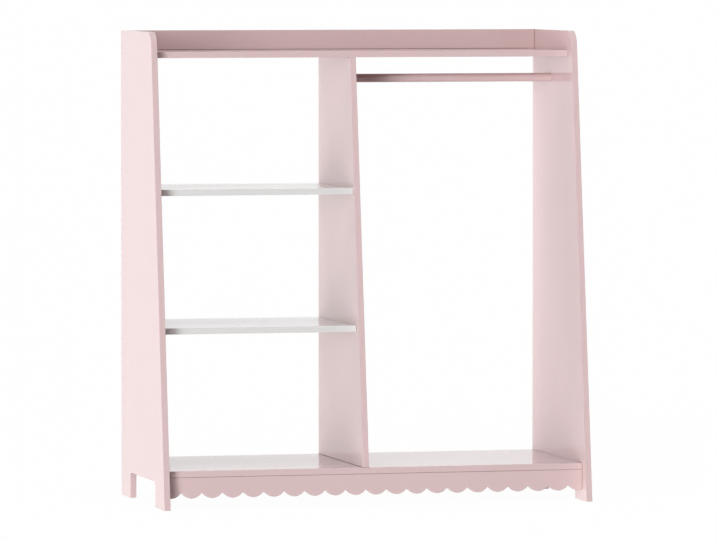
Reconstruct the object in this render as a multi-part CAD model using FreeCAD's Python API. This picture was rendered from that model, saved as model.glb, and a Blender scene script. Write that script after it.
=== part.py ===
import FreeCAD, Part
import math
import os
from FreeCAD import Vector

# Open wardrobe for a child's room, in millimetres
# The origin is on the floor, under the middle of the overall box. +Z is up, the front faces -Y,
# and +X is on the right of someone who faces the front.

# Overall sizes
WIDTH = 1120.0
HEIGHT = 1200.0
DEPTH_BASE = 506.0
DEPTH_TOP = 354.0
BOARD = 16.0
EDGE_RADIUS = 0.8

# Side panels
TOP_CORNER_RADIUS = 39.0
FOOT_LENGTH = 105.0
CUTOUT_DROP = 15.0
CUTOUT_CORNER_RADIUS = 15.0

# Boards fixed between the sides
BASE_RECESS = 27.0
TOP_RECESS = 33.0
BACK_RAIL_HEIGHT = 50.0
BACK_RAIL_BOARD = 16.0
LEFT_BAY = 509.0
APRON_CLEARANCE = 26.5
APRON_HEIGHT = 53.5
APRON_BOARD = 16.0
SCALLOP_COUNT = 19
SCALLOP_END = 36.7
SCALLOP_DEPTH = 13.0
CUSP_RADIUS = 4.0

# Loose shelves and the pins that carry them, out of sight in grooves in the shelves' ends
LOWER_BAY = 341.0
MIDDLE_BAY = 333.0
SHELF_BOARD = 16.0
LOWER_SHELF_RECESS = 50.0
UPPER_SHELF_RECESS = 40.0
SHELF_END_GAP = 0.5
PIN_DIAMETER = 5.0
PIN_INSET = 50.0
PIN_REACH = 8.0
PIN_CHAMFER = 0.5
PIN_FLOOR = 6.0

# Hanging rail
RAIL_DIAMETER = 22.0
RAIL_DROP = 56.5
RAIL_SETBACK = 168.0
RAIL_CHAMFER = 1.0
RAIL_PLAY = 0.08
RAIL_END_PLAY = 0.3
SOCKET_FLOOR = 7.0

# Cam bolts and cam locks
CAM_DIAMETER = 15.0
CAM_SETBACK = 24.0
CAM_FLOOR = 3.0
CAM_SINK = 1.0
CAM_RIM = 1.6
CAM_PLAY = 0.4
CROSS_LENGTH = 8.0
CROSS_WIDTH = 1.6
CROSS_DEPTH = 2.0
BOLT_THREAD_DIAMETER = 5.0
BOLT_SHANK_DIAMETER = 6.0
BOLT_NECK_DIAMETER = 3.6
BOLT_NECK_LENGTH = 3.6
BOLT_HEAD_DIAMETER = 5.6
BOLT_HEAD_LENGTH = 2.4
THREAD_FLOOR = 4.0
CAP_LIP = 1.0
CAP_THICKNESS = 0.9

# Dowels
DOWEL_DIAMETER = 8.0
DOWEL_LONG_END = 20.0
DOWEL_CHAMFER = 1.0
DOWEL_FLOOR = 5.5

# Places of the joints
CAM_INSET = 60.0
DOWEL_PITCH = 32.0
BACK_RAIL_DOWEL_SHARES = (-0.33, 0.0, 0.33)
APRON_CAM_PITCH_SHARES = (-8, -3, 3, 8)

# Fits and cuts
FIT = 0.1
BORE_END = 0.5
OVERRUN = 5.0
SAME_PLACE = 0.001

# Directions
X = Vector(1, 0, 0)
Y = Vector(0, 1, 0)
Z = Vector(0, 0, 1)
FULL_TURN = 360

# Places worked out from the sizes
SIDE_INNER = WIDTH / 2 - BOARD
BACK = DEPTH_BASE / 2
APRON_TOP = APRON_CLEARANCE + APRON_HEIGHT
CUTOUT_TOP = APRON_TOP - CUTOUT_DROP
BOTTOM_SHELF_TOP = APRON_TOP + BOARD
TOP_SHELF_TOP = HEIGHT - BACK_RAIL_HEIGHT
TOP_SHELF_UNDER = TOP_SHELF_TOP - BOARD
DIVIDER_LEFT = LEFT_BAY - SIDE_INNER
DIVIDER_RIGHT = DIVIDER_LEFT + BOARD
DIVIDER_MIDDLE = DIVIDER_LEFT + BOARD / 2
LOWER_SHELF_UNDER = BOTTOM_SHELF_TOP + LOWER_BAY
UPPER_SHELF_UNDER = LOWER_SHELF_UNDER + SHELF_BOARD + MIDDLE_BAY
RAIL_HEIGHT = TOP_SHELF_UNDER - RAIL_DROP
SCALLOP_PITCH = (2 * SIDE_INNER - 2 * SCALLOP_END) / SCALLOP_COUNT


def side_front(height):
    """Y of the side panels' sloping front edge at a height."""
    return BACK - DEPTH_BASE + (DEPTH_BASE - DEPTH_TOP) * height / HEIGHT


def board_front(height):
    """Y of the fixed boards' front edges, which are set back a little more at the top than at the base."""
    return side_front(height) + BASE_RECESS + (TOP_RECESS - BASE_RECESS) * height / HEIGHT


TOP_SHELF_FRONT = board_front(TOP_SHELF_UNDER)
BOTTOM_SHELF_FRONT = board_front(BOTTOM_SHELF_TOP)
LOWER_SHELF_FRONT = side_front(LOWER_SHELF_UNDER + SHELF_BOARD) + LOWER_SHELF_RECESS
UPPER_SHELF_FRONT = side_front(UPPER_SHELF_UNDER + SHELF_BOARD) + UPPER_SHELF_RECESS
APRON_MIDDLE = BOTTOM_SHELF_FRONT + APRON_BOARD / 2
BACK_RAIL_MIDDLE = BACK - BACK_RAIL_BOARD / 2


def rounded_outline(corners):
    """Closed wire in the YZ plane through (y, z, radius) corners, each rounded by its own radius."""
    arcs = []
    for index, (y, z, radius) in enumerate(corners):
        corner = Vector(0, y, z)
        before = corners[index - 1]
        after = corners[(index + 1) % len(corners)]
        to_before = (Vector(0, before[0], before[1]) - corner).normalize()
        to_after = (Vector(0, after[0], after[1]) - corner).normalize()
        half_angle = to_before.getAngle(to_after) / 2
        tangent = radius / math.tan(half_angle)
        inward = (to_before + to_after).normalize()
        crown = corner + inward * (radius / math.sin(half_angle) - radius)
        arcs.append((corner + to_before * tangent, crown, corner + to_after * tangent, radius))
    edges = []
    for index, (start, crown, end, radius) in enumerate(arcs):
        if radius:
            edges.append(Part.Arc(start, crown, end).toShape())
        edges.append(Part.LineSegment(end, arcs[(index + 1) % len(arcs)][0]).toShape())
    return Part.Wire(edges)


def slab(left, right, front, back, under, top):
    """Square-edged board between six planes."""
    return Part.makeBox(right - left, back - front, top - under, Vector(left, front, under))


def turned(profile):
    """Solid turned about the X axis from (along, radius) points that start and end on the axis."""
    points = [Vector(place, radius, 0) for place, radius in profile]
    return Part.Face(Part.makePolygon(points + points[:1])).revolve(Vector(), X, FULL_TURN)


def rod(start, end, diameter, chamfer):
    """Round rod along the X axis with chamfered ends."""
    radius = diameter / 2
    return turned([
        (start, 0),
        (start, radius - chamfer),
        (start + chamfer, radius),
        (end - chamfer, radius),
        (end, radius - chamfer),
        (end, 0),
    ])


def along(shape, origin, direction):
    """Place a turned shape with its axis through a point and along a direction."""
    shape.Placement = FreeCAD.Placement(origin, FreeCAD.Rotation(X, direction))
    return shape


def placed(shape, origin, inward, outward):
    """Place a shape with its own X and Z axes along two square directions."""
    rotation = FreeCAD.Rotation(inward, outward.cross(inward), outward, "XZY")
    shape.Placement = FreeCAD.Placement(origin, rotation)
    return shape


def drill(mouth, direction, diameter, depth):
    """Cutter for a round hole that enters a face at its mouth."""
    start = mouth - direction * OVERRUN
    return Part.makeCylinder(diameter / 2 + FIT, depth + OVERRUN, start, direction)


def on_plane(edge, normal, place):
    """Whether an edge lies in the plane square to a direction, at a place along it."""
    points = [vertex.Point for vertex in edge.Vertexes] + [edge.CenterOfMass]
    return all(abs(point.dot(normal) - place) < SAME_PLACE for point in points)


def eased(board, *planes):
    """Round the edges of a board that lie in one of the (normal, place) planes."""
    chosen = [edge for edge in board.Edges if any(on_plane(edge, *plane) for plane in planes)]
    return board.makeFillet(EDGE_RADIUS, chosen)


class Dowel:
    """Wooden dowel across a butt joint: its short end is in a face, its long end in a board's edge."""

    def __init__(self, seat, inward):
        self.seat = seat
        self.inward = inward
        self.face_depth = BOARD - DOWEL_FLOOR

    def solid(self):
        dowel = rod(BORE_END - self.face_depth, DOWEL_LONG_END, DOWEL_DIAMETER, DOWEL_CHAMFER)
        return along(dowel, self.seat, self.inward)

    def face_cuts(self):
        return [drill(self.seat, -self.inward, DOWEL_DIAMETER, self.face_depth)]

    def edge_cuts(self):
        return [drill(self.seat, self.inward, DOWEL_DIAMETER, DOWEL_LONG_END + BORE_END)]


class CamJoint:
    """Bolt screwed into a face, and the cam lock in the joined board that draws it tight.

    The cam's own frame has X along the bolt into the board, Z out of the face where the cam is
    let in, and its origin where the cam's axis meets the bolt's.
    """

    def __init__(self, seat, inward, outward, board=BOARD):
        self.seat = seat
        self.inward = inward
        self.outward = outward
        self.face = board / 2
        self.bore_depth = board - CAM_FLOOR
        self.thread_depth = BOARD - THREAD_FLOOR
        self.centre = seat + inward * CAM_SETBACK
        self.cavity = CAM_DIAMETER / 2 - CAM_RIM

    def bolt(self):
        head = BOLT_HEAD_DIAMETER / 2
        head_face = -math.sqrt((self.cavity - CAM_PLAY) ** 2 - head ** 2)
        thread_start = BORE_END - self.thread_depth - CAM_SETBACK
        profile = [
            (thread_start, 0),
            (thread_start, BOLT_THREAD_DIAMETER / 2),
            (-CAM_SETBACK, BOLT_THREAD_DIAMETER / 2),
            (-CAM_SETBACK, BOLT_SHANK_DIAMETER / 2),
            (head_face - BOLT_NECK_LENGTH, BOLT_SHANK_DIAMETER / 2),
            (head_face - BOLT_NECK_LENGTH, BOLT_NECK_DIAMETER / 2),
            (head_face, BOLT_NECK_DIAMETER / 2),
            (head_face, head),
            (head_face + BOLT_HEAD_LENGTH, head),
            (head_face + BOLT_HEAD_LENGTH, 0),
        ]
        return along(turned(profile), self.centre, self.inward)

    def lock(self):
        radius = CAM_DIAMETER / 2
        under = self.face - self.bore_depth + FIT
        top = self.face - CAM_SINK
        half_mouth = BOLT_HEAD_DIAMETER / 2 + FIT
        half_cavity = BOLT_HEAD_DIAMETER / 2 + CAM_PLAY
        half_slot = BOLT_NECK_DIAMETER / 2 + CAM_PLAY
        reach = radius + OVERRUN
        body = Part.makeCylinder(radius, top - under, Z * under)
        cavity = Part.makeCylinder(self.cavity, 2 * half_cavity, -Z * half_cavity)
        mouth = Part.makeCylinder(half_mouth, reach, Vector(), X)
        neck_slot = slab(-reach, reach, -half_slot, reach, -half_slot, half_slot)
        cross_floor = top - CROSS_DEPTH
        cross_top = top + OVERRUN
        bar = (-CROSS_LENGTH / 2, CROSS_LENGTH / 2, -CROSS_WIDTH / 2, CROSS_WIDTH / 2)
        cross = [
            slab(*bar, cross_floor, cross_top),
            slab(*bar[2:], *bar[:2], cross_floor, cross_top),
        ]
        lock = body.cut([cavity, mouth, neck_slot] + cross)
        return placed(lock, self.centre, self.inward, self.outward)

    def cap(self):
        ring = CAM_DIAMETER / 2
        rim = ring + FIT + CAP_LIP
        profile = [
            (FIT - CAM_SINK, 0),
            (FIT - CAM_SINK, ring),
            (0, ring),
            (0, rim),
            (CAP_THICKNESS / 2, rim),
            (CAP_THICKNESS, rim - CAP_THICKNESS / 2),
            (CAP_THICKNESS, 0),
        ]
        return along(turned(profile), self.centre + self.outward * self.face, self.outward)

    def face_cuts(self):
        return [drill(self.seat, -self.inward, BOLT_THREAD_DIAMETER, self.thread_depth)]

    def edge_cuts(self):
        mouth = self.centre + self.outward * self.face
        return [
            drill(self.seat, self.inward, BOLT_SHANK_DIAMETER, CAM_SETBACK),
            drill(mouth, -self.outward, CAM_DIAMETER, self.bore_depth),
        ]


def end_joints(front, height, outward):
    """Cam joints and dowels at both ends of a shelf that meets the sides, at its mid height."""
    cams = []
    dowels = []
    for side in (-1, 1):
        for inset, step in ((front + CAM_INSET, DOWEL_PITCH), (BACK - CAM_INSET, -DOWEL_PITCH)):
            cams.append(CamJoint(Vector(side * SIDE_INNER, inset, height), X * -side, outward))
            dowels.append(Dowel(Vector(side * SIDE_INNER, inset + step, height), X * -side))
    return cams, dowels


def divider_joints():
    """Cam joints and dowels at the divider's top and bottom edges, with the cams in its right face."""
    cams = []
    dowels = []
    for height, inward in ((BOTTOM_SHELF_TOP, Z), (TOP_SHELF_UNDER, -Z)):
        front = board_front(height)
        for inset, step in ((front + CAM_INSET, DOWEL_PITCH), (BACK - CAM_INSET, -DOWEL_PITCH)):
            cams.append(CamJoint(Vector(DIVIDER_MIDDLE, inset, height), inward, X))
            dowels.append(Dowel(Vector(DIVIDER_MIDDLE, inset + step, height), inward))
    return cams, dowels


def back_rail_joints():
    """Cam joints at the back rail's ends, let in from behind, and dowels down into the top shelf."""
    middle = TOP_SHELF_TOP + BACK_RAIL_HEIGHT / 2
    cams = [CamJoint(Vector(side * SIDE_INNER, BACK_RAIL_MIDDLE, middle), X * -side, Y, BACK_RAIL_BOARD)
            for side in (-1, 1)]
    dowels = [Dowel(Vector(share * WIDTH, BACK_RAIL_MIDDLE, TOP_SHELF_TOP), Z)
              for share in BACK_RAIL_DOWEL_SHARES]
    return cams, dowels


def apron_joints():
    """Cam joints from the apron up into the bottom shelf, and a dowel at each end."""
    middle = APRON_TOP - (APRON_HEIGHT - SCALLOP_DEPTH) / 2
    cams = [CamJoint(Vector(share * SCALLOP_PITCH, APRON_MIDDLE, APRON_TOP), -Z, Y, APRON_BOARD)
            for share in APRON_CAM_PITCH_SHARES]
    dowels = [Dowel(Vector(side * SIDE_INNER, APRON_MIDDLE, middle), X * -side) for side in (-1, 1)]
    return cams, dowels


TOP_CAMS, TOP_DOWELS = end_joints(TOP_SHELF_FRONT, TOP_SHELF_TOP - BOARD / 2, -Z)
BOTTOM_CAMS, BOTTOM_DOWELS = end_joints(BOTTOM_SHELF_FRONT, BOTTOM_SHELF_TOP - BOARD / 2, -Z)
DIVIDER_CAMS, DIVIDER_DOWELS = divider_joints()
RAIL_CAMS, RAIL_DOWELS = back_rail_joints()
APRON_CAMS, APRON_DOWELS = apron_joints()


def face_cuts(joints, side=0):
    """Holes in the faces that the joints enter, on one side of the wardrobe or on both."""
    return [cut for joint in joints if joint.seat.x * side >= 0 for cut in joint.face_cuts()]


def edge_cuts(joints):
    """Holes in the edges and faces of the board that the joints hold."""
    return [cut for joint in joints for cut in joint.edge_cuts()]


class ShelfPin:
    """Steel pin in an upright board: the end that stands out carries a shelf by a groove in its end."""

    def __init__(self, seat, inward):
        self.seat = seat
        self.inward = inward
        self.face_depth = BOARD - PIN_FLOOR

    def solid(self):
        pin = rod(BORE_END - self.face_depth, PIN_REACH, PIN_DIAMETER, PIN_CHAMFER)
        return along(pin, self.seat, self.inward)

    def face_cuts(self):
        return [drill(self.seat, -self.inward, PIN_DIAMETER, self.face_depth)]

    def groove(self):
        """Cutter for a groove that is round at the pin and open at the back, so the shelf draws out."""
        radius = PIN_DIAMETER / 2 + FIT
        depth = PIN_REACH + BORE_END
        front_end = Part.makeCylinder(radius, depth, self.seat, self.inward)
        left, right = sorted((self.seat.x, self.seat.x + self.inward.x * depth))
        run = slab(left, right, self.seat.y, BACK + OVERRUN, self.seat.z - radius, self.seat.z + radius)
        return front_end.fuse(run)


def end_pins(place, under):
    """Pins at one place along a loose shelf's ends, in the left side panel and in the divider."""
    height = under + SHELF_BOARD / 2
    return [
        ShelfPin(Vector(-SIDE_INNER, place, height), X),
        ShelfPin(Vector(DIVIDER_LEFT, place, height), -X),
    ]


def front_pins(front, under):
    return end_pins(front + PIN_INSET, under)


def back_pins(under):
    return end_pins(BACK - PIN_INSET, under)


LOWER_PINS = front_pins(LOWER_SHELF_FRONT, LOWER_SHELF_UNDER) + back_pins(LOWER_SHELF_UNDER)
UPPER_PINS = front_pins(UPPER_SHELF_FRONT, UPPER_SHELF_UNDER) + back_pins(UPPER_SHELF_UNDER)
SHELF_PINS = LOWER_PINS + UPPER_PINS
SOCKET_DEPTH = BOARD - SOCKET_FLOOR


def rail_socket(face, direction):
    """Blind round hole that an end of the hanging rail turns in."""
    start = Vector(face, BACK - RAIL_SETBACK, RAIL_HEIGHT) - direction * OVERRUN
    return Part.makeCylinder(RAIL_DIAMETER / 2 + RAIL_PLAY, SOCKET_DEPTH + OVERRUN, start, direction)


def side_panel(side):
    """Tapered side board with a rounded top front corner and a cut-out between its feet."""
    outline = rounded_outline([
        (BACK, 0, 0),
        (BACK, HEIGHT, 0),
        (side_front(HEIGHT), HEIGHT, TOP_CORNER_RADIUS),
        (side_front(0), 0, 0),
        (side_front(0) + FOOT_LENGTH, 0, 0),
        (side_front(0) + FOOT_LENGTH, CUTOUT_TOP, CUTOUT_CORNER_RADIUS),
        (BACK - FOOT_LENGTH, CUTOUT_TOP, CUTOUT_CORNER_RADIUS),
        (BACK - FOOT_LENGTH, 0, 0),
    ])
    panel = Part.Face(outline).extrude(X * BOARD * side)
    panel.translate(X * SIDE_INNER * side)
    panel = eased(panel, (X, SIDE_INNER * side), (X, (SIDE_INNER + BOARD) * side))
    cuts = face_cuts(TOP_CAMS + TOP_DOWELS + BOTTOM_CAMS + BOTTOM_DOWELS, side)
    cuts += face_cuts(RAIL_CAMS + APRON_DOWELS, side)
    return panel, cuts


def left_side_panel():
    panel, cuts = side_panel(-1)
    for pin in SHELF_PINS:
        if pin.inward.x > 0:
            cuts += pin.face_cuts()
    return panel.cut(cuts)


def right_side_panel():
    panel, cuts = side_panel(1)
    return panel.cut(cuts + [rail_socket(SIDE_INNER, X)])


def divider_panel():
    """Upright board with a sloping front edge, between the bottom shelf and the top shelf."""
    outline = rounded_outline([
        (BACK, BOTTOM_SHELF_TOP, 0),
        (BACK, TOP_SHELF_UNDER, 0),
        (board_front(TOP_SHELF_UNDER), TOP_SHELF_UNDER, 0),
        (board_front(BOTTOM_SHELF_TOP), BOTTOM_SHELF_TOP, 0),
    ])
    panel = Part.Face(outline).extrude(X * BOARD)
    panel.translate(X * DIVIDER_LEFT)
    panel = eased(panel, (X, DIVIDER_LEFT), (X, DIVIDER_RIGHT))
    cuts = edge_cuts(DIVIDER_CAMS + DIVIDER_DOWELS)
    for pin in SHELF_PINS:
        if pin.inward.x < 0:
            cuts += pin.face_cuts()
    return panel.cut(cuts + [rail_socket(DIVIDER_RIGHT, -X)])


def top_shelf():
    board = slab(-SIDE_INNER, SIDE_INNER, TOP_SHELF_FRONT, BACK, TOP_SHELF_UNDER, TOP_SHELF_TOP)
    board = eased(board, (Z, TOP_SHELF_UNDER), (Z, TOP_SHELF_TOP), (Y, TOP_SHELF_FRONT), (Y, BACK))
    upper = [joint for joint in DIVIDER_CAMS + DIVIDER_DOWELS if joint.inward.z < 0]
    return board.cut(edge_cuts(TOP_CAMS + TOP_DOWELS) + face_cuts(upper + RAIL_DOWELS))


def bottom_shelf():
    under = BOTTOM_SHELF_TOP - BOARD
    board = slab(-SIDE_INNER, SIDE_INNER, BOTTOM_SHELF_FRONT, BACK, under, BOTTOM_SHELF_TOP)
    board = eased(board, (Z, under), (Z, BOTTOM_SHELF_TOP), (Y, BOTTOM_SHELF_FRONT), (Y, BACK))
    lower = [joint for joint in DIVIDER_CAMS + DIVIDER_DOWELS if joint.inward.z > 0]
    return board.cut(edge_cuts(BOTTOM_CAMS + BOTTOM_DOWELS) + face_cuts(lower + APRON_CAMS))


def back_rail():
    front = BACK - BACK_RAIL_BOARD
    board = slab(-SIDE_INNER, SIDE_INNER, front, BACK, TOP_SHELF_TOP, HEIGHT)
    board = eased(board, (Z, TOP_SHELF_TOP), (Z, HEIGHT), (Y, front), (Y, BACK))
    return board.cut(edge_cuts(RAIL_CAMS + RAIL_DOWELS))


def scalloped_edge():
    """Edges of the apron's lower outline from left to right: lobes joined by small round cusps.

    A cusp's arc touches the lobes on both sides of it, so the centres of a lobe and a cusp lie
    one sum of their radii apart. That sum follows from the pitch and the depth of the scallops.
    """
    half_pitch = SCALLOP_PITCH / 2
    centre_gap = (half_pitch ** 2 + SCALLOP_DEPTH ** 2) / (2 * SCALLOP_DEPTH)
    lobe_radius = centre_gap - CUSP_RADIUS
    lobe_centre = APRON_CLEARANCE + lobe_radius
    cusp_centre = APRON_CLEARANCE + SCALLOP_DEPTH - CUSP_RADIUS
    touch_x = half_pitch * CUSP_RADIUS / centre_gap
    touch_z = cusp_centre + (lobe_centre - cusp_centre) * CUSP_RADIUS / centre_gap

    def point(x, z):
        return Vector(x, BOTTOM_SHELF_FRONT, z)

    def lobe(start_x, start_z, end_x, end_z, centre_x):
        middle_x = (start_x + end_x) / 2
        middle_z = lobe_centre - math.sqrt(lobe_radius ** 2 - (middle_x - centre_x) ** 2)
        return Part.Arc(point(start_x, start_z), point(middle_x, middle_z), point(end_x, end_z)).toShape()

    end_centre = (SCALLOP_COUNT + 1) * half_pitch
    end_z = lobe_centre - math.sqrt(lobe_radius ** 2 - (SIDE_INNER - end_centre) ** 2)
    edges = []
    start = (-SIDE_INNER, end_z)
    for index in range(SCALLOP_COUNT + 1):
        cusp_x = SCALLOP_PITCH * index - SCALLOP_COUNT * half_pitch
        edges.append(lobe(*start, cusp_x - touch_x, touch_z, cusp_x - half_pitch))
        crown = point(cusp_x, cusp_centre + CUSP_RADIUS)
        cusp = Part.Arc(point(cusp_x - touch_x, touch_z), crown, point(cusp_x + touch_x, touch_z))
        edges.append(cusp.toShape())
        start = (cusp_x + touch_x, touch_z)
    edges.append(lobe(*start, SIDE_INNER, end_z, end_centre))
    return edges


def scalloped_apron():
    """Board under the front of the bottom shelf, with a scalloped lower edge."""
    edges = scalloped_edge()
    corners = [
        edges[-1].Vertexes[-1].Point,
        Vector(SIDE_INNER, BOTTOM_SHELF_FRONT, APRON_TOP),
        Vector(-SIDE_INNER, BOTTOM_SHELF_FRONT, APRON_TOP),
        edges[0].Vertexes[0].Point,
    ]
    sides = Part.makePolygon(corners)
    board = Part.Face(Part.Wire(edges + sides.Edges)).extrude(Y * APRON_BOARD)
    board = eased(board, (Y, BOTTOM_SHELF_FRONT), (Y, BOTTOM_SHELF_FRONT + APRON_BOARD))
    return board.cut(edge_cuts(APRON_CAMS + APRON_DOWELS))


def loose_shelf(front, under):
    """White shelf that rests on its pins and draws out at the front."""
    top = under + SHELF_BOARD
    board = slab(SHELF_END_GAP - SIDE_INNER, DIVIDER_LEFT - SHELF_END_GAP, front, BACK, under, top)
    board = eased(board, (Z, under), (Z, top), (Y, front), (Y, BACK))
    return board.cut([pin.groove() for pin in front_pins(front, under)])


def hanging_rail():
    """Round rail with chamfered ends in the sockets of the divider and the right side panel."""
    reach = SOCKET_DEPTH - RAIL_END_PLAY
    rail = rod(DIVIDER_RIGHT - reach, SIDE_INNER + reach, RAIL_DIAMETER, RAIL_CHAMFER)
    return along(rail, Vector(0, BACK - RAIL_SETBACK, RAIL_HEIGHT), X)


def group(solids):
    """Like pieces kept together as separate solids."""
    return Part.makeCompound(list(solids))


PIECES = {
    "left_side_panel": left_side_panel(),
    "right_side_panel": right_side_panel(),
    "divider_panel": divider_panel(),
    "top_shelf": top_shelf(),
    "back_rail": back_rail(),
    "bottom_shelf": bottom_shelf(),
    "scalloped_apron": scalloped_apron(),
    "upper_shelf": loose_shelf(UPPER_SHELF_FRONT, UPPER_SHELF_UNDER),
    "lower_shelf": loose_shelf(LOWER_SHELF_FRONT, LOWER_SHELF_UNDER),
    "hanging_rail": hanging_rail(),
    "upper_shelf_supports": group(pin.solid() for pin in UPPER_PINS),
    "lower_shelf_supports": group(pin.solid() for pin in LOWER_PINS),
    "divider_cam_caps": group(cam.cap() for cam in DIVIDER_CAMS),
}

FASTENINGS = {
    "top_shelf": (TOP_CAMS, TOP_DOWELS),
    "bottom_shelf": (BOTTOM_CAMS, BOTTOM_DOWELS),
    "divider": (DIVIDER_CAMS, DIVIDER_DOWELS),
    "back_rail": (RAIL_CAMS, RAIL_DOWELS),
    "apron": (APRON_CAMS, APRON_DOWELS),
}

for board_name, (cams, dowels) in FASTENINGS.items():
    PIECES[board_name + "_cam_bolts"] = group(cam.bolt() for cam in cams)
    PIECES[board_name + "_cam_locks"] = group(cam.lock() for cam in cams)
    PIECES[board_name + "_dowels"] = group(dowel.solid() for dowel in dowels)

os.makedirs("parts", exist_ok=True)
for piece_name, piece in PIECES.items():
    piece.exportStep("parts/" + piece_name + ".step")
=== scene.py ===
import math
from typing import NamedTuple

import bmesh
import bpy
from bpy.props import FloatProperty, FloatVectorProperty, PointerProperty
from mathutils import Color, Euler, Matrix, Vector


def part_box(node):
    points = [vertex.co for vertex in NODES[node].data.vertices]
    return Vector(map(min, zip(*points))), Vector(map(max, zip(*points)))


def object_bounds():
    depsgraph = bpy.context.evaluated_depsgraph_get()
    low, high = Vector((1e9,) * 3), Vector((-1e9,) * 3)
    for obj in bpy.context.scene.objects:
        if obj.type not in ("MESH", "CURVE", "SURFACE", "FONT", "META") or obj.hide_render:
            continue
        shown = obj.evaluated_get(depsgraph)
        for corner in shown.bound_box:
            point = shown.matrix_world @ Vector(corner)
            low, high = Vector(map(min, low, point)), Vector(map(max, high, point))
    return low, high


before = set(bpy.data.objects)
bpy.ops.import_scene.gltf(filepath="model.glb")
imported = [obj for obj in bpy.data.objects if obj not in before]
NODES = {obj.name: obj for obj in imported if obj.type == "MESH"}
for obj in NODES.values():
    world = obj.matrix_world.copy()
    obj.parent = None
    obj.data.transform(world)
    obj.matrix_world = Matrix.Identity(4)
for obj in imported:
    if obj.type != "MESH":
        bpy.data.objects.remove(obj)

bl_info = {
    "name": "Open wardrobe",
    "version": (1, 0, 0),
    "blender": (4, 5, 0),
    "location": "3D View > Sidebar > Wardrobe",
    "description": "Paints, fittings and studio of an open wardrobe with shelves and a hanging rail",
    "category": "Object",
}

CAD_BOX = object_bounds()

# Directions of the frame
X_AXIS = Vector((1, 0, 0))
Y_AXIS = Vector((0, 1, 0))
Z_AXIS = Vector((0, 0, 1))
ALL_AXES = X_AXIS + Y_AXIS + Z_AXIS
RIGHT_ANGLE = 90

# Gap in metres that keeps the floor clear of the feet
FLOOR_GAP = 0.0002

# White, and the alpha that ends a shader colour
WHITE = (1.0, 1.0, 1.0)
OPAQUE = (1.0,)

# Sockets of a Mix node that mixes colours
MIX_FACTOR, MIX_FIRST, MIX_SECOND, MIX_RESULT = 0, 6, 7, 2

# Nodes that share a finish
SIDE_PANELS = ("left_side_panel", "right_side_panel")
LEVEL_BOARDS = ("top_shelf", "bottom_shelf")
WHITE_SHELVES = ("upper_shelf", "lower_shelf")
SHELF_SUPPORTS = ("upper_shelf_supports", "lower_shelf_supports")


class Joint(NamedTuple):
    """Fittings of a joint: the board that they hold, and the ways that its bolts and its dowels run."""

    board: str
    bolts: Vector
    dowels: Vector


JOINTS = {
    "top_shelf": Joint("top_shelf", bolts=X_AXIS, dowels=X_AXIS),
    "bottom_shelf": Joint("bottom_shelf", bolts=X_AXIS, dowels=X_AXIS),
    "divider": Joint("divider_panel", bolts=Z_AXIS, dowels=Z_AXIS),
    "back_rail": Joint("back_rail", bolts=X_AXIS, dowels=Z_AXIS),
    "apron": Joint("scalloped_apron", bolts=Z_AXIS, dowels=X_AXIS),
}


class Lamp(NamedTuple):
    """Distant soft lamp: degrees from the front towards the right, above the level and of spread, and light.

    A light of 1 shows a colour as written on a surface that faces the lamp.
    """

    turn: float
    rise: float
    spread: float
    light: float


LAMPS = {
    "key_lamp": Lamp(turn=-36, rise=-12, spread=18, light=0.25),
    "low_lamp": Lamp(turn=-38, rise=-30, spread=30, light=0.26),
    "floor_lamp": Lamp(turn=-38, rise=-48, spread=30, light=0.09),
    "front_lamp": Lamp(turn=-44, rise=5, spread=18, light=0.39),
    "high_lamp": Lamp(turn=-24, rise=30, spread=20, light=0.145),
    "high_left_lamp": Lamp(turn=-40, rise=22, spread=16, light=0.065),
    "left_lamp": Lamp(turn=-95, rise=-8, spread=22, light=0.3),
    "left_rear_lamp": Lamp(turn=-118, rise=-8, spread=28, light=0.225),
    "left_high_lamp": Lamp(turn=-95, rise=15, spread=22, light=0.085),
    "top_lamp": Lamp(turn=0, rise=89, spread=60, light=0.65),
    "right_lamp": Lamp(turn=90, rise=-5, spread=20, light=0.6),
    "rear_lamp": Lamp(turn=165, rise=-5, spread=30, light=0.55),
    "rear_right_lamp": Lamp(turn=135, rise=5, spread=30, light=0.15),
}


class Grain(NamedTuple):
    """Random pattern of a finish: its patches' width in metres, its detail, and their length in widths."""

    width: float
    detail: float
    length: float = 1.0


def linear(colour, share=1.0):
    """Shader colour for a display colour, made darker or lighter by a share."""
    return tuple(channel * share for channel in Color(colour).from_srgb_to_scene_linear()) + OPAQUE


class Value:
    """Output of a shader node. Arithmetic on values adds Math nodes to their shader."""

    def __init__(self, shader, socket):
        self.shader = shader
        self.socket = socket

    def __add__(self, other):
        return self.shader.math("ADD", self, other)

    def __radd__(self, other):
        return self.shader.math("ADD", other, self)

    def __sub__(self, other):
        return self.shader.math("SUBTRACT", self, other)

    def __rsub__(self, other):
        return self.shader.math("SUBTRACT", other, self)

    def __mul__(self, other):
        return self.shader.math("MULTIPLY", self, other)

    def __rmul__(self, other):
        return self.shader.math("MULTIPLY", other, self)

    def __abs__(self):
        return self.shader.math("ABSOLUTE", self)


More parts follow.
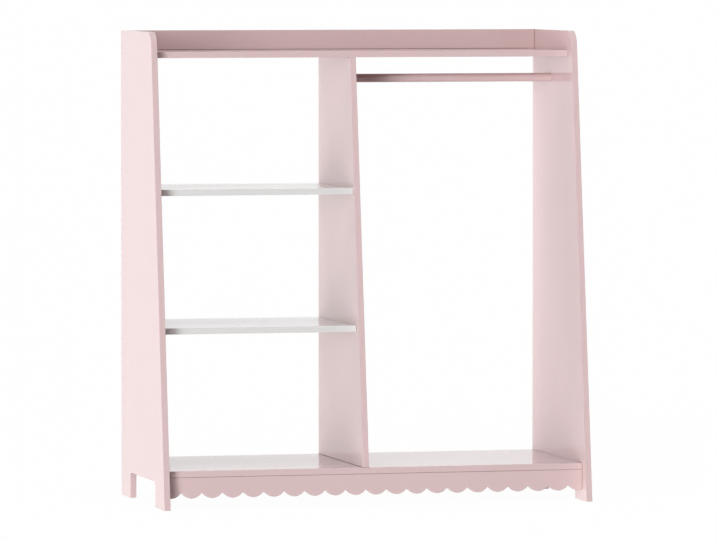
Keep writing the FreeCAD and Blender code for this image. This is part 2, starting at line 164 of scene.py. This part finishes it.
class Shader:
    """Node tree of a material or a world, built up from values."""

    def __init__(self, owner):
        owner.use_nodes = True
        self.owner = owner
        self.tree = owner.node_tree
        self.tree.nodes.clear()

    def node(self, kind, settings=None, inputs=None, output=0):
        """Add a node with its settings and its sockets' values or links, and return one of its outputs."""
        node = self.tree.nodes.new(kind)
        for key, setting in (settings or {}).items():
            setattr(node, key, setting)
        for key, value in (inputs or {}).items():
            if isinstance(value, Value):
                self.tree.links.new(value.socket, node.inputs[key])
            else:
                node.inputs[key].default_value = value
        return Value(self, node.outputs[output]) if len(node.outputs) else None

    def math(self, operation, *values):
        """Result of a Math node."""
        return self.node("ShaderNodeMath", {"operation": operation}, dict(enumerate(values)))

    def mix(self, factor, first, second):
        """Colour between two colours."""
        return self.node("ShaderNodeMix", {"data_type": "RGBA"},
                         {MIX_FACTOR: factor, MIX_FIRST: first, MIX_SECOND: second}, MIX_RESULT)

    def shade(self, factor, colour, first_share, second_share):
        """Colour between two shares of a display colour."""
        return self.mix(factor, linear(colour, first_share), linear(colour, second_share))

    def ramp(self, value, start, end):
        """Smooth rise from 0 to 1 as a value goes from start to end."""
        return self.node("ShaderNodeMapRange", {"interpolation_type": "SMOOTHSTEP"},
                         {"Value": value, "From Min": start, "From Max": end})

    def along(self, direction, vector="Object"):
        """Part of the point on the piece, or of its normal, that lies along a direction."""
        point = self.node("ShaderNodeTexCoord", output=vector)
        return self.node("ShaderNodeVectorMath", {"operation": "DOT_PRODUCT"},
                         {0: point, 1: direction}, "Value")

    def noise(self, grain, drawn_out=X_AXIS):
        """Random value about 0.5 in the patches of a grain, whose length is drawn out along a direction."""
        point = self.node("ShaderNodeTexCoord", output="Object")
        stretch = ALL_AXES + (grain.length - 1) * drawn_out
        place = self.node("ShaderNodeMapping", {"vector_type": "TEXTURE"},
                          {"Vector": point, "Scale": stretch})
        return self.node("ShaderNodeTexNoise", inputs={
            "Vector": place, "Scale": 1 / grain.width, "Detail": grain.detail})

    def seen(self):
        """1 for rays that see this directly, in a reflection or through glass, and 0 for other light."""
        seen = self.node("ShaderNodeLightPath", output="Is Camera Ray")
        for ray in ("Is Glossy Ray", "Is Transmission Ray"):
            seen = self.math("MAXIMUM", seen, self.node("ShaderNodeLightPath", output=ray))
        return seen

    def surface(self, colour, roughness, relief, depth, **sockets):
        """Close a material with a Principled surface whose relief has a depth in metres."""
        bump = self.node("ShaderNodeBump", inputs={"Distance": depth, "Height": relief})
        self.close(self.node("ShaderNodeBsdfPrincipled", inputs={
            "Base Color": colour, "Roughness": roughness, "Normal": bump, **sockets}))
        return self.owner

    def close(self, shader, kind="ShaderNodeOutputMaterial"):
        """Lead a finished shader to the output."""
        self.node(kind, inputs={"Surface": shader})


def new_finish(name):
    """Empty shader of a new material."""
    return Shader(bpy.data.materials.new(name))


def give(finish, *names):
    """Put a finish on CAD nodes in place of their plain one."""
    for name in names:
        NODES[name].material_slots[0].material = finish


def low_end(board, direction):
    """Plane at a board's lower end along a direction: the direction, and the plane's place along it."""
    return direction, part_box(board)[0].dot(direction)


def high_end(board, direction):
    """Plane at a board's higher end along a direction."""
    return direction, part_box(board)[1].dot(direction)


# Lacquer of the boards, whose faces and edges are told apart by how far their normal lies across the board
FACE_NORMAL = 0.65
EDGE_NORMAL = 0.35
TONE_CLOUDS = Grain(0.35, detail=3.0)
LACQUER_FLECKS = Grain(0.009, detail=2.0)
LACQUER_FLECK_STRENGTH = 0.25
PEEL_DETAIL = 1.0
EDGE_FIBRES = Grain(0.0015, detail=3.0, length=30)
FIBRE_ROUGHNESS = 0.08
FIBRE_RELIEF_SHARE = 0.8
JOINT_ROUGHNESS = 0.6


def board_paint(name, colour, roughness, paint, across, joints=()):
    """Sprayed lacquer on a board: orange peel on its faces, fibres on its edges, painted shade in dark lines
    at its joints.

    Across is the way through the board's thickness, and joints are the planes where it butts on others, along
    which the shadow of the gap is painted as a dark line.
    """
    finish = new_finish(name)
    edge = finish.ramp(abs(finish.along(across, "Normal")), FACE_NORMAL, EDGE_NORMAL)
    clouds = finish.noise(TONE_CLOUDS)
    flecks = finish.noise(LACQUER_FLECKS)
    peel = finish.noise(Grain(paint.peel_size, PEEL_DETAIL))
    fibres = finish.noise(EDGE_FIBRES, ALL_AXES - across)
    light_share = 1 + paint.variation
    dark_share = 1 - paint.variation
    darkest_share = 1 - 2 * paint.variation
    face_tone = finish.shade(clouds, colour, dark_share, light_share)
    face_tone = finish.mix(LACQUER_FLECK_STRENGTH * flecks, face_tone, linear(colour, darkest_share))
    edge_tone = finish.shade(fibres, colour, darkest_share, light_share)
    tone = finish.mix(edge, face_tone, edge_tone)
    roughness = roughness + FIBRE_ROUGHNESS * fibres * edge
    # Painted shade: a dark line along each joint plane stands in for the shadow in the gap between butting
    # boards.
    for direction, place in joints:
        line = finish.ramp(abs(finish.along(direction) - place), paint.joint_shadow_width, 0)
        tone = finish.mix(line, tone, linear(paint.joint))
        roughness = roughness + JOINT_ROUGHNESS * line
    relief = peel * (1 - edge) + FIBRE_RELIEF_SHARE * fibres * edge
    return finish.surface(tone, roughness, relief, paint.peel_depth, IOR=paint.gloss)


# Lacquer of the hanging rail
RAIL_STREAKS = Grain(0.004, detail=3.0, length=40)
TURNING_LINES = Grain(0.0025, detail=2.0, length=30)
RAIL_DARK_SHARE = 0.96
RAIL_LIGHT_SHARE = 1.02
STREAK_ROUGHNESS = 0.02
STREAK_MIDDLE = 0.5
STREAK_RELIEF_SHARE = 0.6
TURNING_RELIEF_SHARE = 0.4


def rail_paint(name, colour, paint):
    """Lacquer on a turned rail, with faint turning lines round it and streaks along it."""
    finish = new_finish(name)
    streaks = finish.noise(RAIL_STREAKS, X_AXIS)
    rings = finish.noise(TURNING_LINES, ALL_AXES - X_AXIS)
    tone = finish.shade(streaks, colour, RAIL_DARK_SHARE, RAIL_LIGHT_SHARE)
    roughness = paint.roughness + STREAK_ROUGHNESS * (streaks - STREAK_MIDDLE)
    relief = STREAK_RELIEF_SHARE * streaks + TURNING_RELIEF_SHARE * rings
    return finish.surface(tone, roughness, relief, paint.peel_depth, IOR=paint.gloss)


# Plated steel of the shelf supports: a spot shows where its noise passes from the start to the full level
DRAW_LINES = Grain(0.0004, detail=2.0, length=25)
DRAW_LINE_DEPTH = 0.00002
DRAW_LINE_STRENGTH = 0.3
DRAW_LINE_ROUGHNESS = 0.1
DULL_SPOTS = Grain(0.004, detail=3.0)
DULL_SPOT_START = 0.55
DULL_SPOT_FULL = 0.75
DULL_SPOT_STRENGTH = 0.6
DULL_SPOT_ROUGHNESS = 0.2
PLATING_LIGHT_SHARE = 1.05
PLATING_DULL_SHARE = 0.8
PLATING_ROUGHNESS = 0.2


def plated_steel(name, colour, direction):
    """Bright plating over drawn steel, with fine draw lines along the piece and a few dull spots."""
    finish = new_finish(name)
    lines = finish.noise(DRAW_LINES, direction)
    spots = finish.ramp(finish.noise(DULL_SPOTS), DULL_SPOT_START, DULL_SPOT_FULL)
    dullness = DULL_SPOT_STRENGTH * spots + DRAW_LINE_STRENGTH * lines
    tone = finish.shade(dullness, colour, PLATING_LIGHT_SHARE, PLATING_DULL_SHARE)
    roughness = PLATING_ROUGHNESS + DRAW_LINE_ROUGHNESS * lines + DULL_SPOT_ROUGHNESS * spots
    return finish.surface(tone, roughness, lines, DRAW_LINE_DEPTH, Metallic=1.0)


# Plated steel of the bolts: the thread starts within a share of its pitch, and its roots get painted shade
THREAD_START_SHARE = 0.25
BOLT_SPOTS = Grain(0.003, detail=3.0)
BOLT_SPOT_STRENGTH = 0.3
BOLT_SPOT_ROUGHNESS = 0.15
ROOT_SHADE_STRENGTH = 0.5
ROOT_ROUGHNESS = 0.1
BOLT_LIGHT_SHARE = 1.05
BOLT_DARK_SHARE = 0.55
BOLT_ROUGHNESS = 0.22


def bolt_steel(name, colour, fittings, board, direction):
    """Bright plating with a rolled thread on the part of the bolts that stands out of their board, with
    painted shade in the thread's roots.
    """
    finish = new_finish(name)
    low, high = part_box(board)
    middle = (low + high).dot(direction) / 2
    half = (high - low).dot(direction) / 2
    reach = finish.along(direction)
    thread = finish.ramp(abs(reach - middle), half, half + THREAD_START_SHARE * fittings.thread_pitch)
    turn = 2 * math.pi / fittings.thread_pitch
    crest = 0.5 + 0.5 * finish.math("SINE", turn * reach)
    # Painted shade: the roots of the bumped thread are darkened in colour, standing in for the shade in the
    # grooves.
    shaded_root = thread * (1 - crest)
    spots = finish.noise(BOLT_SPOTS)
    spot_and_root_shade = ROOT_SHADE_STRENGTH * shaded_root + BOLT_SPOT_STRENGTH * spots
    tone = finish.shade(spot_and_root_shade, colour, BOLT_LIGHT_SHARE, BOLT_DARK_SHARE)
    roughness = BOLT_ROUGHNESS + BOLT_SPOT_ROUGHNESS * spots + ROOT_ROUGHNESS * shaded_root
    return finish.surface(tone, roughness, thread * crest, fittings.thread_depth, Metallic=1.0)


# Zinc of the cam locks
ZINC_GRAIN = Grain(0.0005, detail=4.0)
ZINC_GRAIN_DEPTH = 0.00005
ZINC_GRAIN_ROUGHNESS = 0.15
ZINC_DARK_SHARE = 0.7
ZINC_LIGHT_SHARE = 0.95
ZINC_ROUGHNESS = 0.5
RUBBED_PLACES = Grain(0.004, detail=2.0)
RUBBED_START = 0.45
RUBBED_FULL = 0.7
RUBBED_LIGHT_SHARE = 1.1
RUBBED_SMOOTHNESS = 0.15


def die_cast(name, colour):
    """Bare die-cast zinc: a matt grainy skin with brighter rubbed places."""
    finish = new_finish(name)
    grain = finish.noise(ZINC_GRAIN)
    rubbed = finish.ramp(finish.noise(RUBBED_PLACES), RUBBED_START, RUBBED_FULL)
    skin = finish.shade(grain, colour, ZINC_DARK_SHARE, ZINC_LIGHT_SHARE)
    tone = finish.mix(rubbed, skin, linear(colour, RUBBED_LIGHT_SHARE))
    roughness = ZINC_ROUGHNESS + ZINC_GRAIN_ROUGHNESS * grain - RUBBED_SMOOTHNESS * rubbed
    return finish.surface(tone, roughness, grain, ZINC_GRAIN_DEPTH, Metallic=1.0)


# Beech of the dowels
BEECH_GRAIN = Grain(0.0011, detail=4.0, length=25)
BEECH_GRAIN_DEPTH = 0.00012
BEECH_GRAIN_ROUGHNESS = 0.15
BEECH_DARK_SHARE = 0.78
BEECH_LIGHT_SHARE = 1.1
BEECH_ROUGHNESS = 0.6
BEECH_FLECKS = Grain(0.0006, detail=2.0, length=6)
BEECH_FLECK_START = 0.6
BEECH_FLECK_FULL = 0.75
BEECH_FLECK_STRENGTH = 0.5
BEECH_FLECK_DARK_SHARE = 0.5
BEECH_FLECK_RELIEF_SHARE = 0.4


def dowel_beech(name, colour, direction):
    """Bare beech with its grain along the dowel and the short dark flecks of the wood."""
    finish = new_finish(name)
    grain = finish.noise(BEECH_GRAIN, direction)
    flecks = finish.ramp(finish.noise(BEECH_FLECKS, direction), BEECH_FLECK_START, BEECH_FLECK_FULL)
    tone = finish.shade(grain, colour, BEECH_DARK_SHARE, BEECH_LIGHT_SHARE)
    tone = finish.mix(BEECH_FLECK_STRENGTH * flecks, tone, linear(colour, BEECH_FLECK_DARK_SHARE))
    roughness = BEECH_ROUGHNESS + BEECH_GRAIN_ROUGHNESS * grain
    relief = grain - BEECH_FLECK_RELIEF_SHARE * flecks
    return finish.surface(tone, roughness, relief, BEECH_GRAIN_DEPTH)


# Plastic of the caps
SPARK_TEXTURE = Grain(0.0004, detail=2.0)
SPARK_DEPTH = 0.00003
SPARK_ROUGHNESS = 0.12
PLASTIC_CLOUDS = Grain(0.006, detail=2.0)
PLASTIC_DARK_SHARE = 0.97
PLASTIC_LIGHT_SHARE = 1.02
PLASTIC_ROUGHNESS = 0.4


def cap_plastic(name, colour):
    """Moulded plastic with a fine spark texture."""
    finish = new_finish(name)
    spark = finish.noise(SPARK_TEXTURE)
    clouds = finish.noise(PLASTIC_CLOUDS)
    tone = finish.shade(clouds, colour, PLASTIC_DARK_SHARE, PLASTIC_LIGHT_SHARE)
    return finish.surface(tone, PLASTIC_ROUGHNESS + SPARK_ROUGHNESS * spark, spark, SPARK_DEPTH)


class PaintSettings(bpy.types.PropertyGroup):
    """Paints of the boards and the rail."""

    pink: FloatVectorProperty(
        name="Pink", description="Colour of the carcass and the rail",
        default=(0.825, 0.732, 0.736), subtype="COLOR_GAMMA", min=0, max=1)
    white: FloatVectorProperty(
        name="White", description="Colour of the loose shelves",
        default=(0.851, 0.859, 0.857), subtype="COLOR_GAMMA", min=0, max=1)
    roughness: FloatProperty(
        name="Roughness", description="Roughness of the pink lacquer",
        default=0.09, subtype="FACTOR", min=0, max=1)
    white_roughness: FloatProperty(
        name="White roughness", description="Roughness of the loose shelves' white lacquer",
        default=0.12, subtype="FACTOR", min=0, max=1)
    gloss: FloatProperty(
        name="Refractive index", description="Refractive index of the lacquer", default=1.5, min=1, max=2)
    variation: FloatProperty(
        name="Variation", description="Share by which the paint's tone drifts over a board",
        default=0.012, subtype="FACTOR", min=0, max=0.2)
    peel_size: FloatProperty(
        name="Orange peel size", description="Size of the lacquer's ripples",
        default=0.004, subtype="DISTANCE", unit="LENGTH", min=0.0005)
    peel_depth: FloatProperty(
        name="Orange peel depth", description="Depth of the lacquer's ripples",
        default=0.000002, subtype="DISTANCE", unit="LENGTH", min=0, precision=6)
    # Painted shade at joints: width and colour of the shadow line painted along the planes where boards butt.
    joint_shadow_width: FloatProperty(
        name="Joint line width", description="Width of the dark line at a joint, on the board that butts",
        default=0.0016, subtype="DISTANCE", unit="LENGTH", min=0, precision=4)
    joint: FloatVectorProperty(
        name="Joint line", description="Colour of the dark line at a joint",
        default=(0.46, 0.33, 0.27), subtype="COLOR_GAMMA", min=0, max=1)


class FittingSettings(bpy.types.PropertyGroup):
    """Metal and wood of the joints and supports."""

    steel: FloatVectorProperty(
        name="Plating", description="Colour of the plated pins and bolts",
        default=(0.80, 0.80, 0.79), subtype="COLOR_GAMMA", min=0, max=1)
    zinc: FloatVectorProperty(
        name="Zinc", description="Colour of the die-cast cam locks",
        default=(0.70, 0.70, 0.71), subtype="COLOR_GAMMA", min=0, max=1)
    beech: FloatVectorProperty(
        name="Beech", description="Colour of the wooden dowels",
        default=(0.86, 0.72, 0.55), subtype="COLOR_GAMMA", min=0, max=1)
    thread_pitch: FloatProperty(
        name="Thread pitch", description="Distance between the threads of a cam bolt",
        default=0.0018, subtype="DISTANCE", unit="LENGTH", min=0.0005)
    thread_depth: FloatProperty(
        name="Thread depth", description="Depth of the threads of a cam bolt",
        default=0.0005, subtype="DISTANCE", unit="LENGTH", min=0)


class StageSettings(bpy.types.PropertyGroup):
    """Floor, lamps and camera of the studio."""

    floor: FloatVectorProperty(
        name="Floor", description="Colour of the floor",
        default=WHITE, subtype="COLOR_GAMMA", min=0, max=1)
    floor_reach: FloatProperty(
        name="Floor reach", description="Distance from the middle of the floor to its sides",
        default=200.0, subtype="DISTANCE", unit="LENGTH", min=10)
    floor_white: FloatProperty(
        name="Floor white", description="Share of the floor that shows as white, over its shadows",
        default=0.97, subtype="FACTOR", min=0, max=1)
    ambient: FloatVectorProperty(
        name="Ambient light", description="Light from all round, as a shader colour",
        default=(0.045, 0.008, 0.0), subtype="COLOR", min=0, max=1)
    lamp_level: FloatProperty(
        name="Lamp level", description="Share of the lamps' light that is on", default=1.0, min=0)
    camera_place: FloatVectorProperty(
        name="Camera place", description="Place of the camera",
        default=(-4.12639, -16.15794, 1.42890), subtype="TRANSLATION", unit="LENGTH")
    camera_turn: FloatVectorProperty(
        name="Camera turn", description="Turn of the camera",
        default=(math.radians(87.1096), 0, math.radians(-14.347)), subtype="EULER", unit="ROTATION")
    camera_lens: FloatProperty(
        name="Camera lens", description="Focal length of the camera",
        default=327.149, unit="CAMERA", min=1)


class WardrobeSettings(bpy.types.PropertyGroup):
    """Everything that a user would change."""

    paint: PointerProperty(type=PaintSettings)
    fittings: PointerProperty(type=FittingSettings)
    stage: PointerProperty(type=StageSettings)


class WARDROBE_OT_upright_boards(bpy.types.Operator):
    """Paint the side panels and the divider"""

    bl_idname = "wardrobe.upright_boards"
    bl_label = "Side panels and divider"

    def execute(self, context):
        paint = context.scene.wardrobe.paint
        side = board_paint("pink_side_panel", paint.pink, paint.roughness, paint, X_AXIS)
        give(side, *SIDE_PANELS)
        # The divider's foot gets a painted shadow line where it stands on the bottom shelf.
        foot = low_end("divider_panel", Z_AXIS)
        divider = board_paint("pink_divider", paint.pink, paint.roughness, paint, X_AXIS, [foot])
        give(divider, "divider_panel")
        return {"FINISHED"}


class WARDROBE_OT_level_boards(bpy.types.Operator):
    """Paint the top and bottom shelves"""

    bl_idname = "wardrobe.level_boards"
    bl_label = "Top and bottom shelves"

    def execute(self, context):
        paint = context.scene.wardrobe.paint
        # Painted shadow lines at both ends, where the shelves butt on the side panels.
        ends = [low_end("top_shelf", X_AXIS), high_end("top_shelf", X_AXIS)]
        level = board_paint("pink_level_board", paint.pink, paint.roughness, paint, Z_AXIS, ends)
        give(level, *LEVEL_BOARDS)
        return {"FINISHED"}


class WARDROBE_OT_front_boards(bpy.types.Operator):
    """Paint the back rail and the scalloped apron"""

    bl_idname = "wardrobe.front_boards"
    bl_label = "Back rail and apron"

    def execute(self, context):
        paint = context.scene.wardrobe.paint
        # Painted shadow lines at both ends and along the edge that meets a shelf.
        for board, shelf_side in (("back_rail", low_end), ("scalloped_apron", high_end)):
            joints = [low_end(board, X_AXIS), high_end(board, X_AXIS), shelf_side(board, Z_AXIS)]
            give(board_paint("pink_" + board, paint.pink, paint.roughness, paint, Y_AXIS, joints), board)
        return {"FINISHED"}


class WARDROBE_OT_white_shelves(bpy.types.Operator):
    """Paint the loose shelves"""

    bl_idname = "wardrobe.white_shelves"
    bl_label = "White shelves"

    def execute(self, context):
        paint = context.scene.wardrobe.paint
        white = board_paint("white_level_board", paint.white, paint.white_roughness, paint, Z_AXIS)
        give(white, *WHITE_SHELVES)
        return {"FINISHED"}


class WARDROBE_OT_hanging_rail(bpy.types.Operator):
    """Paint the hanging rail"""

    bl_idname = "wardrobe.hanging_rail"
    bl_label = "Hanging rail"

    def execute(self, context):
        paint = context.scene.wardrobe.paint
        give(rail_paint("pink_rail", paint.pink, paint), "hanging_rail")
        return {"FINISHED"}


class WARDROBE_OT_shelf_supports(bpy.types.Operator):
    """Plate the pins that carry the loose shelves"""

    bl_idname = "wardrobe.shelf_supports"
    bl_label = "Shelf supports"

    def execute(self, context):
        fittings = context.scene.wardrobe.fittings
        give(plated_steel("plated_support", fittings.steel, X_AXIS), *SHELF_SUPPORTS)
        return {"FINISHED"}


class WARDROBE_OT_cam_fittings(bpy.types.Operator):
    """Finish the cam bolts, cam locks, dowels and caps of the joints"""

    bl_idname = "wardrobe.cam_fittings"
    bl_label = "Cams, bolts and dowels"

    def execute(self, context):
        settings = context.scene.wardrobe
        fittings = settings.fittings
        zinc = die_cast("cast_zinc", fittings.zinc)
        beech = {tuple(way): dowel_beech("beech_dowel_" + name, fittings.beech, way)
                 for name, way in (("level", X_AXIS), ("upright", Z_AXIS))}
        for name, joint in JOINTS.items():
            bolt = bolt_steel(name + "_bolt_steel", fittings.steel, fittings, joint.board, joint.bolts)
            give(bolt, name + "_cam_bolts")
            give(zinc, name + "_cam_locks")
            give(beech[tuple(joint.dowels)], name + "_dowels")
        give(cap_plastic("pink_cap", settings.paint.pink), "divider_cam_caps")
        return {"FINISHED"}


class WARDROBE_OT_stage(bpy.types.Operator):
    """Lay the floor, hang the lamps and set the camera"""

    bl_idname = "wardrobe.stage"
    bl_label = "Stage"

    def execute(self, context):
        scene = context.scene
        stage = scene.wardrobe.stage
        self.lay_floor(scene, stage)
        self.light_background(scene, stage)
        for name, lamp in LAMPS.items():
            self.hang_lamp(scene, name, lamp, stage.lamp_level)
        self.aim_camera(scene, stage)
        scene.view_settings.view_transform = "Standard"
        return {"FINISHED"}

    def lay_floor(self, scene, stage):
        """White floor that keeps a faint shadow and lets the light of the low lamps through."""
        mesh = bpy.data.meshes.new("studio_floor")
        plane = bmesh.new()
        bmesh.ops.create_grid(plane, x_segments=1, y_segments=1, size=stage.floor_reach)
        bmesh.ops.translate(plane, verts=plane.verts, vec=(0, 0, CAD_BOX[0].z - FLOOR_GAP))
        plane.to_mesh(mesh)
        plane.free()
        floor = bpy.data.objects.new("studio_floor", mesh)
        scene.collection.objects.link(floor)
        shader = new_finish("studio_floor")
        matt = shader.node("ShaderNodeBsdfDiffuse", inputs={"Color": linear(stage.floor)})
        white = shader.node("ShaderNodeEmission", inputs={"Color": WHITE + OPAQUE})
        shader.close(shader.node("ShaderNodeMixShader", inputs={0: stage.floor_white, 1: matt, 2: white}))
        mesh.materials.append(shader.owner)
        floor.visible_shadow = False
        floor.visible_diffuse = False

    def light_background(self, scene, stage):
        """Background that looks white and gives the object only the ambient light."""
        scene.world = bpy.data.worlds.new("studio")
        shader = Shader(scene.world)
        colour = shader.mix(shader.seen(), tuple(stage.ambient) + OPAQUE, WHITE + OPAQUE)
        shader.close(shader.node("ShaderNodeBackground", inputs={"Color": colour}), "ShaderNodeOutputWorld")

    def hang_lamp(self, scene, name, lamp, level):
        """Lamp with a share of its light, which no reflection shows."""
        data = bpy.data.lights.new(name, "SUN")
        data.energy = math.pi * lamp.light * level
        data.angle = math.radians(lamp.spread)
        sun = bpy.data.objects.new(name, data)
        sun.rotation_euler = Euler((math.radians(RIGHT_ANGLE - lamp.rise), 0, math.radians(lamp.turn)))
        sun.visible_camera = False
        sun.visible_glossy = False
        scene.collection.objects.link(sun)

    def aim_camera(self, scene, stage):
        """Camera at the place and angle of the stage's settings."""
        data = bpy.data.cameras.new("studio_camera")
        data.lens = stage.camera_lens
        camera = bpy.data.objects.new("studio_camera", data)
        camera.location = stage.camera_place
        camera.rotation_euler = stage.camera_turn
        scene.collection.objects.link(camera)
        scene.camera = camera


OPERATORS = (
    WARDROBE_OT_upright_boards,
    WARDROBE_OT_level_boards,
    WARDROBE_OT_front_boards,
    WARDROBE_OT_white_shelves,
    WARDROBE_OT_hanging_rail,
    WARDROBE_OT_shelf_supports,
    WARDROBE_OT_cam_fittings,
    WARDROBE_OT_stage,
)


class WARDROBE_PT_panel(bpy.types.Panel):
    """Lists the settings, the wardrobe's pieces and the stage"""

    bl_idname = "WARDROBE_PT_panel"
    bl_label = "Wardrobe"
    bl_space_type = "VIEW_3D"
    bl_region_type = "UI"
    bl_category = "Wardrobe"

    def draw(self, context):
        settings = context.scene.wardrobe
        for group in (settings.paint, settings.fittings, settings.stage):
            column = self.layout.column(align=True)
            for name in type(group).__annotations__:
                column.prop(group, name)
        for operator in OPERATORS:
            self.layout.operator(operator.bl_idname)


CLASSES = (PaintSettings, FittingSettings, StageSettings, WardrobeSettings) + OPERATORS + (WARDROBE_PT_panel,)


def register():
    for item in CLASSES:
        bpy.utils.register_class(item)
    bpy.types.Scene.wardrobe = PointerProperty(type=WardrobeSettings)


def unregister():
    del bpy.types.Scene.wardrobe
    for item in reversed(CLASSES):
        bpy.utils.unregister_class(item)


def main():
    register()
    bpy.ops.wardrobe.upright_boards()
    bpy.ops.wardrobe.level_boards()
    bpy.ops.wardrobe.front_boards()
    bpy.ops.wardrobe.white_shelves()
    bpy.ops.wardrobe.hanging_rail()
    bpy.ops.wardrobe.shelf_supports()
    bpy.ops.wardrobe.cam_fittings()
    bpy.ops.wardrobe.stage()


if __name__ == "__main__":
    main()
